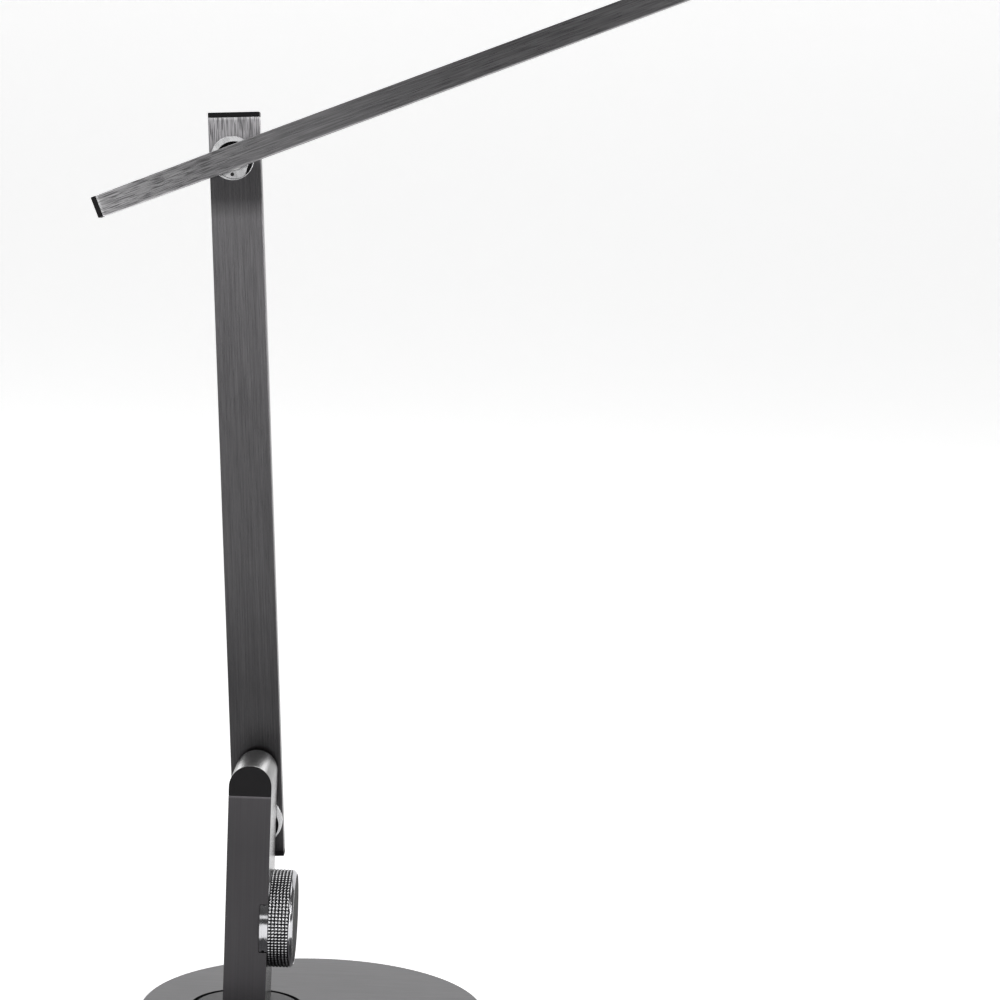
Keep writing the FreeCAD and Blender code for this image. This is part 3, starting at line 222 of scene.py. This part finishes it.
def brushed(name, dark, light, turn, run, rough, depth, paintedLightBands=None, origin=(0.0, 0.0, 0.0),
            scratched=None):
    # metal brushed in one direction: run is "x" or "z" after the turn.
    # the list of painted light gives (metres along the run from the origin, painted brightness there), painted
    # reflections, highlights and shade multiplied into the colour, and scratched gives where along the run the
    # coarse scratches start and where they are at their full strength
    paint = Paint(name)
    stretch = {"x": (grainAlong, grainAcross, grainAcross), "z": (grainAcross, grainAcross, grainAlong)}[run]
    coarse = paint.noise(turn, stretch, 4.0, 0.6)
    fine = paint.noise(turn, tuple(grainBump["fineness"] * number for number in stretch), 2.0, 0.5)
    cloud = paint.noise(turn, (22.0, 22.0, 22.0), 3.0, 0.5)
    grain = 0.65 * coarse + 0.35 * fine
    tone = paint.spread(grain, 0.35, 0.65, 0.0, 1.0)
    colour = paint.blend(tone, dark, light)
    if paintedLightBands:
        # painted light: painted reflections, highlights and shade multiplied into the colour along the run
        colour = paintLightBands(paint, colour, turn, run, paintedLightBands, origin)
    if scratched:
        across = scratch["across"]
        along = scratch["along"]
        scratchStretch = {"x": (along, across, across), "z": (across, across, along)}[run]
        lines = paint.noise(turn, scratchStretch, 1.0, 0.4)
        strength = paint.spread(distanceAlong(paint, turn, run, origin), *scratched, 0.0, 1.0)
        mask = paint.spread(lines, scratch["starts"], scratch["full"], 0.0, 1.0) * strength
        shade = paint.node("ShaderNodeVectorMath", {"operation": "SCALE"},
                           {0: colour, "Scale": scratch["shade"]})
        colour = paint.blend(mask, colour, shade)
    roughness = rough + grainBump["spread"] * (fine - 0.5) + grainBump["smudge"] * (cloud - 0.5)
    return paint.finish(colour=colour, metal=1.0, rough=roughness, normal=paint.bump(grain, depth))


def distanceAlong(paint, turn, run, origin):
    # metres from the origin along the run
    raw = paint.node("ShaderNodeTexCoord", None, None, "Object")
    moved = paint.node("ShaderNodeVectorMath", {"operation": "SUBTRACT"}, {0: raw, 1: origin})
    turned = paint.node("ShaderNodeMapping", None,
                        {"Vector": moved, "Rotation": (0.0, math.radians(turn), 0.0)})
    return paint.node("ShaderNodeSeparateXYZ", None, {"Vector": turned}, {"x": 0, "z": 2}[run])


# the brightest painted highlight that a list of painted light bands can reach
brightestPaintedLight = 8.0


def paintLightBands(paint, colour, turn, run, paintedLightBands, origin):
    # multiplies the colour by a smooth series of painted brightnesses along the run: painted reflections,
    # highlights and shade
    along = distanceAlong(paint, turn, run, origin)
    low = paintedLightBands[0][0]
    span = paintedLightBands[-1][0] - low
    share = paint.spread(along, low, low + span, 0.0, 1.0)
    stops = [((place - low) / span, (bright / brightestPaintedLight,) * 3) for place, bright in paintedLightBands]
    ramp = paint.node("ShaderNodeValToRGB", {"stops": stops}, {"Fac": share})
    strong = paint.node("ShaderNodeVectorMath", {"operation": "SCALE"}, {0: ramp, "Scale": brightestPaintedLight})
    return paint.node("ShaderNodeVectorMath", {"operation": "MULTIPLY"}, {0: colour, 1: strong})


def turnedMetal(name, dark, light, rough, centre, depth):
    # metal faced on a lathe about a front-to-back axis: fine rings round centre
    paint = Paint(name)
    raw = paint.node("ShaderNodeTexCoord", None, None, "Object")
    offset = paint.node("ShaderNodeVectorMath", {"operation": "SUBTRACT"}, {0: raw, 1: centre})
    reach = paint.node("ShaderNodeVectorMath", {"operation": "LENGTH"}, {0: offset}, 1)
    rings = paint.node("ShaderNodeTexNoise", {"noise_dimensions": "1D"},
                       {"W": reach * 4200.0, "Scale": 1.0, "Detail": 2.0})
    cloud = paint.noise(0.0, (60.0, 60.0, 60.0))
    colour = paint.blend(rings, dark, light)
    return paint.finish(colour=colour, metal=1.0, rough=rough + 0.12 * (cloud - 0.5) + 0.08 * (rings - 0.5),
                        normal=paint.bump(rings, depth))


def polished(name, tone, rough):
    # bright plating with faint wipe marks
    paint = Paint(name)
    wipe = paint.noise(25.0, (300.0, 300.0, 60.0), 4.0, 0.6)
    cloud = paint.noise(0.0, (90.0, 90.0, 90.0), 3.0, 0.5)
    shade = tuple(number * 0.86 for number in tone)
    colour = paint.blend(cloud, shade, tone)
    roughness = paint.spread(wipe * cloud, 0.1, 0.4, rough * 0.6, rough * 1.5)
    return paint.finish(colour=colour, metal=1.0, rough=roughness, normal=paint.bump(wipe, 0.000004))


def moulded(name, tone, rough, grain=2600.0, depth=0.00002, coat=0.0, gloss=1.45):
    # moulded plastic or rubber with a fine spark grain
    paint = Paint(name)
    grains = paint.noise(0.0, (grain, grain, grain), 2.0, 0.5)
    cloud = paint.noise(0.0, (70.0, 70.0, 70.0), 3.0, 0.5)
    light = tuple(min(1.0, number * 1.35 + 0.002) for number in tone)
    colour = paint.blend(cloud, tone, light)
    return paint.finish(colour=colour, rough=rough + 0.16 * (cloud - 0.5) + 0.1 * (grains - 0.5),
                        normal=paint.bump(grains, depth), coat=coat, gloss=gloss)


def paintedPanel(name, dark, light, rough, paintedLightBands):
    # dark coated sheet whose vertical brushing still shows through
    paint = Paint(name)
    lines = paint.noise(0.0, (1300.0, 1300.0, 14.0), 3.0, 0.5)
    cloud = paint.noise(0.0, (30.0, 30.0, 12.0), 2.0, 0.5)
    tone = paint.spread(0.7 * lines + 0.3 * cloud, 0.38, 0.62, 0.0, 1.0)
    # painted light along the height: painted shade and a painted highlight multiplied into the coat colour
    colour = paintLightBands(paint, paint.blend(tone, dark, light), 0.0, "z", paintedLightBands, (0.0, 0.0, 0.0))
    return paint.finish(colour=colour, metal=0.55,
                        rough=rough + 0.12 * (lines - 0.5), normal=paint.bump(lines, 0.000012))


def castMetal(name, dark, light, metal):
    paint = Paint(name)
    pits = paint.noise(0.0, (900.0, 900.0, 900.0), 5.0, 0.7)
    cloud = paint.noise(0.0, (45.0, 45.0, 45.0))
    return paint.finish(colour=paint.blend(cloud, dark, light), metal=metal, rough=0.45 + 0.3 * (pits - 0.5),
                        normal=paint.bump(pits, 0.00012))


def circuitBoard(name):
    # green mask with paler tracks under it
    paint = Paint(name)
    cells = paint.node("ShaderNodeTexBrick", {"offset": 0.3, "squash": 0.7},
                       {"Vector": paint.places(0.0, (330.0, 330.0, 330.0)), "Scale": 1.0,
                        "Mortar Size": 0.09, "Color1": (0.012, 0.13, 0.05), "Color2": (0.018, 0.16, 0.06),
                        "Mortar": (0.05, 0.3, 0.12)})
    wave = paint.noise(0.0, (500.0, 500.0, 500.0))
    return paint.finish(colour=cells, rough=0.3 + 0.15 * (wave - 0.5), coat=0.4,
                        normal=paint.bump(wave, 0.00001))


def lightChip(name):
    # yellow phosphor well in a white package
    paint = Paint(name)
    dots = paint.node("ShaderNodeTexVoronoi", None,
                      {"Vector": paint.places(armRise, (420.0, 420.0, 420.0)), "Scale": 1.0}, "Distance")
    tone = paint.spread(dots, 0.2, 0.5, 0.0, 1.0)
    return paint.finish(colour=paint.blend(tone, (0.92, 0.66, 0.12), (0.9, 0.86, 0.7)), rough=0.35)


def frosted(name):
    # milky light cover with a fine prism grain
    paint = Paint(name)
    lines = paint.noise(armRise, (1800.0, 1800.0, 1800.0), 2.0, 0.5)
    cloud = paint.noise(armRise, (60.0, 60.0, 60.0))
    return paint.finish(colour=paint.blend(cloud, (0.86, 0.87, 0.88), (0.95, 0.95, 0.94)),
                        rough=0.42 + 0.2 * (lines - 0.5), normal=paint.bump(lines, 0.00002), under=0.15)


def knurled(name, axis, low, high):
    # plating near black low between the beads and bright at their tips, by height alone: low and high are
    # distances from the axis
    paint = Paint(name)
    raw = paint.node("ShaderNodeTexCoord", None, None, "Object")
    offset = paint.node("ShaderNodeVectorMath", {"operation": "SUBTRACT"}, {0: raw, 1: axis})
    across = paint.node("ShaderNodeVectorMath", {"operation": "MULTIPLY"}, {0: offset, 1: (0.0, 1.0, 1.0)})
    reach = paint.node("ShaderNodeVectorMath", {"operation": "LENGTH"}, {0: across}, 1)
    height = paint.spread(reach, low, high, 0.0, 1.0)
    tipNoise = paint.noise(0.0, (400.0, 400.0, 400.0), 2.0, 0.5)
    tip = paint.spread(height + 0.3 * (tipNoise - 0.5), 0.25, 0.85, 0.0, 1.0)
    colour = paint.blend(tip, (0.02, 0.02, 0.022), (0.9, 0.9, 0.92))
    return paint.finish(colour=colour, metal=1.0, rough=0.3 - 0.14 * tip, normal=paint.bump(tipNoise, 0.000004))


knobCentre = tuple(joints["knob_turn"]["pos_m"])
finishes = {
    "base_metal": brushed("baseBrushed", (0.14, 0.138, 0.143), (0.174, 0.172, 0.177), 0.0, "x", 0.36,
                          0.000003),
    # bar: painted shade low down and just under the upper joint's ring, painted reflection brightening upwards to
    # a painted highlight at the top
    "bar_metal": brushed("barBrushedPaintedLight", (0.13, 0.127, 0.132), (0.205, 0.2, 0.207), barLean, "z", 0.3, 0.000003,
                         paintedLightBands=[(-0.45, 0.3), (-0.292, 0.31), (-0.238, 0.5), (-0.184, 0.67), (-0.13, 0.89),
                                (-0.076, 1.2), (-0.033, 1.4), (-0.022, 0.6), (-0.004, 0.55), (0.008, 3.4),
                                (0.0208, 4.0), (0.0214, 7.0), (0.024, 7.0)],
                         origin=tuple(joints["upper_pivot"]["pos_m"]), scratched=(0.002, 0.012)),
    # arm: painted highlight on the tail end, painted reflection fading from the tail towards the head
    "arm_metal": brushed("armBrushedPaintedLight", (0.13, 0.128, 0.132), (0.27, 0.266, 0.272), armRise, "x", 0.3,
                         0.000006,
                         paintedLightBands=[(-0.0785, 7.0), (-0.075, 7.0), (-0.0742, 3.2), (-0.05, 2.3), (-0.015, 1.5),
                                (0.0, 1.45), (0.038, 1.25), (0.096, 1.0), (0.155, 0.85), (0.213, 0.78),
                                (0.5, 0.8)],
                         origin=tuple(joints["upper_pivot"]["pos_m"]), scratched=(0.05, -0.03)),
    # stem: painted shade near the foot and below the top of the arch, painted highlight along the top of the arch
    "stem_metal": brushed("stemBrushedPaintedLight", (0.3, 0.298, 0.303), (0.46, 0.457, 0.462), 0.0, "z", 0.28, 0.00001,
                          paintedLightBands=[(0.0, 0.3), (0.028, 0.33), (0.042, 0.72), (0.136, 0.72), (0.1405, 0.45),
                                 (0.147, 0.27), (0.1505, 0.45), (0.1535, 4.0), (0.156, 5.0)]),
    # panel: painted shading, lighter near the foot and darker higher up, with a painted highlight line along the
    # top edge
    "panel_grey": paintedPanel("panelCoatPaintedLight", (0.052, 0.049, 0.053), (0.061, 0.058, 0.062), 0.42,
                               paintedLightBands=[(0.015, 1.3), (0.034, 1.25), (0.05, 1.05), (0.083, 0.87), (0.11, 0.8),
                                      (0.1368, 0.95), (0.1373, 2.0), (0.138, 2.0)]),
    "weight_iron": castMetal("castIron", (0.1, 0.1, 0.105), (0.17, 0.17, 0.175), 0.7),
    "cast_alloy": castMetal("castAlloy", (0.42, 0.42, 0.43), (0.58, 0.58, 0.59), 1.0),
    "plate_black": moulded("powderCoat", (0.02, 0.02, 0.021), 0.5, 1500.0, 0.00005),
    "foot_rubber": moulded("footRubber", (0.018, 0.018, 0.019), 0.78, 1200.0, 0.00008),
    "black_plastic": moulded("capPlastic", (0.006, 0.0056, 0.0064), 0.5, gloss=1.25),
    "black_screw": moulded("blackScrew", (0.01, 0.01, 0.01), 0.35, 3000.0, 0.00001),
    "nylon": moulded("nylon", (0.46, 0.46, 0.45), 0.42),
    "wire": moulded("wireJacket", (0.02, 0.02, 0.02), 0.4, 1800.0, 0.00001, 0.2),
    "small_steel": turnedMetal("turnedSteel", (0.42, 0.42, 0.43), (0.62, 0.62, 0.62), 0.3, knobCentre,
                               0.00001),
    "dimmer_can": castMetal("platedCan", (0.45, 0.44, 0.4), (0.6, 0.58, 0.52), 1.0),
    "knob_metal": polished("knobChrome", (0.64, 0.64, 0.66), 0.14),
    "knob_face_dark": moulded("knobFace", (0.006, 0.006, 0.0065), 0.6, gloss=1.2),
    "chrome": polished("cupChrome", (0.66, 0.66, 0.67), 0.19),
    "board_green": circuitBoard("circuitBoard"),
    "led_chip": lightChip("lightChip"),
    "diffuser": frosted("frostedCover"),
}
print("materials made:", len(finishes))

for nodeName, item in nodes.items():
    for materialSlot in item.material_slots:
        materialSlot.material = finishes[slotOf[nodeName]]


# The floor, and the paper wall that it curves up into
def makeSweep(settings):
    paint = Paint("sweepPaper")
    fibre = paint.noise(0.0, (140.0, 140.0, 140.0), 4.0, 0.6)
    tone = settings["floorTone"]
    colour = paint.blend(fibre, (tone, tone, tone), (tone + 0.04, tone + 0.04, tone + 0.04))
    material = paint.finish(colour=colour, rough=0.9, normal=paint.bump(fibre, 0.0001),
                            glow=(1.0, 1.0, 1.0), glowPower=settings["sweepGlow"])
    radius = settings["sweepRadius"]
    back = settings["sweepBack"]
    profile = [(settings["sweepFront"], 0.0)]
    for step in range(settings["sweepSteps"] + 1):
        angle = math.radians(90 * step / settings["sweepSteps"])
        profile.append((back - radius + radius * math.sin(angle), radius - radius * math.cos(angle)))
    profile.append((back, settings["sweepHeight"]))
    half = settings["sweepHalfWidth"]
    mesh = bpy.data.meshes.new("sweep")
    points = [(side * half, y, z) for y, z in profile for side in (-1, 1)]
    faces = [(2 * index, 2 * index + 1, 2 * index + 3, 2 * index + 2) for index in range(len(profile) - 1)]
    mesh.from_pydata(points, [], faces)
    mesh.materials.append(material)
    for polygon in mesh.polygons:
        polygon.use_smooth = True
    item = bpy.data.objects.new("sweep", mesh)
    bpy.context.scene.collection.objects.link(item)


makeSweep(studio)


def addPiece(name, mesh, node, sharp=32):
    # a finished mesh that stands for a CAD node and moves with its body
    for polygon in mesh.polygons:
        polygon.use_smooth = True
    mesh.set_sharp_from_angle(angle=math.radians(sharp))
    item = bpy.data.objects.new(name, mesh)
    item.data.materials.clear()
    item.data.materials.append(finishes[slotOf[node]])
    bpy.context.scene.collection.objects.link(item)
    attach(item, bodyOf[node])
    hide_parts(node)
    return item


# Every edge that shows is broken by a small round, in metres
softEdges = {
    "base_cover": 0.00035, "swivel_disc": 0.00025, "stem_shell": 0.00025,
    "stem_front_panel": 0.0003, "stem_back_panel": 0.0003, "stem_cap_front": 0.0003, "stem_cap_back": 0.0003,
    "knob_drum": 0.00025, "knob_bezel": 0.0003, "knob_face": 0.0002,
    "bar_tube": 0.00025, "bar_top_cap": 0.00035, "bar_bottom_cap": 0.00035,
    "lower_joint_cup": 0.0003, "upper_joint_cup": 0.0003,
    "lower_hub_plate": 0.00015, "upper_hub_plate": 0.00015,
    "arm_tube": 0.00025, "arm_tail_cap": 0.00035, "arm_head_cap": 0.00035, "led_diffuser": 0.0002,
    "foot_pad": 0.0003,
}
cornerAngle = 34.0
flatAngle = 0.6
areaPower = 1.5


def softened(node, width):
    shape = bmesh.new()
    shape.from_mesh(nodes[node].data)
    bmesh.ops.remove_doubles(shape, verts=shape.verts, dist=0.000002)
    bmesh.ops.dissolve_limit(shape, angle_limit=math.radians(flatAngle), verts=shape.verts, edges=shape.edges)
    shape.normal_update()
    corners = [edge for edge in shape.edges
               if len(edge.link_faces) == 2 and edge.calc_face_angle(0.0) > math.radians(cornerAngle)]
    bmesh.ops.bevel(shape, geom=corners, offset=width, offset_type="OFFSET", segments=2, profile=0.5,
                    affect="EDGES", clamp_overlap=True)
    shape.normal_update()
    # the wide faces rule the shading, so a flat face stays flat up to its rounded edge
    normals = []
    for point in shape.verts:
        total = Vector()
        for face in point.link_faces:
            total += face.normal * face.calc_area() ** areaPower
        normals.append(total.normalized() if total.length > 0 else Vector(point.normal))
    mesh = bpy.data.meshes.new(node + "_soft")
    shape.to_mesh(mesh)
    shape.free()
    item = addPiece(node + "_soft", mesh, node, 180)
    mesh.normals_split_custom_set_from_vertices(normals)
    return item


for nodeName, edgeWidth in softEdges.items():
    piece = softened(nodeName, edgeWidth)
    if nodeName == "swivel_disc":
        # the disc is spun darker than the base round it
        piece.material_slots[0].material = brushed("discBrushed", (0.038, 0.037, 0.039),
                                                   (0.052, 0.051, 0.053), 0.0, "x", 0.34, 0.000003)
print("edges softened:", len(softEdges))


# The knob's grip: rows of small rounded pyramids all round
grip = {"columns": 6, "rows": 88, "stepsAlong": 6, "stepsRound": 6, "beadHeight": 0.0005, "wall": 0.0017,
        "sharpness": 1.1}


def makeGrip(settings):
    low, high = (Vector(corner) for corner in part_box("knob_sleeve"))
    axisY = knobCentre[1]
    axisZ = knobCentre[2]
    outer = (high.z - low.z) / 2
    base = outer - settings["beadHeight"]
    along = settings["columns"] * settings["stepsAlong"]
    around = settings["rows"] * settings["stepsRound"]
    shape = bmesh.new()
    loops = []

    def loop(x, radiusAt):
        points = []
        for step in range(around):
            angle = 2 * math.pi * step / around
            radius = radiusAt(step)
            y = axisY + radius * math.sin(angle)
            z = axisZ + radius * math.cos(angle)
            points.append(shape.verts.new((x, y, z)))
        loops.append(points)

    def bead(column, step):
        across = abs(math.sin(math.pi * column / settings["stepsAlong"]))
        aroundIt = abs(math.sin(math.pi * step / settings["stepsRound"]))
        return base + settings["beadHeight"] * (across * aroundIt) ** settings["sharpness"]

    inner = outer - settings["beadHeight"] - settings["wall"]
    loop(low.x, lambda step: inner)
    for column in range(along + 1):
        x = low.x + (high.x - low.x) * column / along
        loop(x, lambda step, column=column: bead(column, step))
    loop(high.x, lambda step: inner)
    loops.append(loops[0])
    for first, second in zip(loops, loops[1:]):
        for step in range(around):
            after = (step + 1) % around
            shape.faces.new((first[step], first[after], second[after], second[step]))
    bmesh.ops.recalc_face_normals(shape, faces=shape.faces)
    mesh = bpy.data.meshes.new("knob_grip")
    shape.to_mesh(mesh)
    shape.free()
    item = addPiece("knob_grip", mesh, "knob_sleeve", 60)
    item.material_slots[0].material = knurled("knobBeads", knobCentre, base, outer)


makeGrip(grip)
print("grip made")
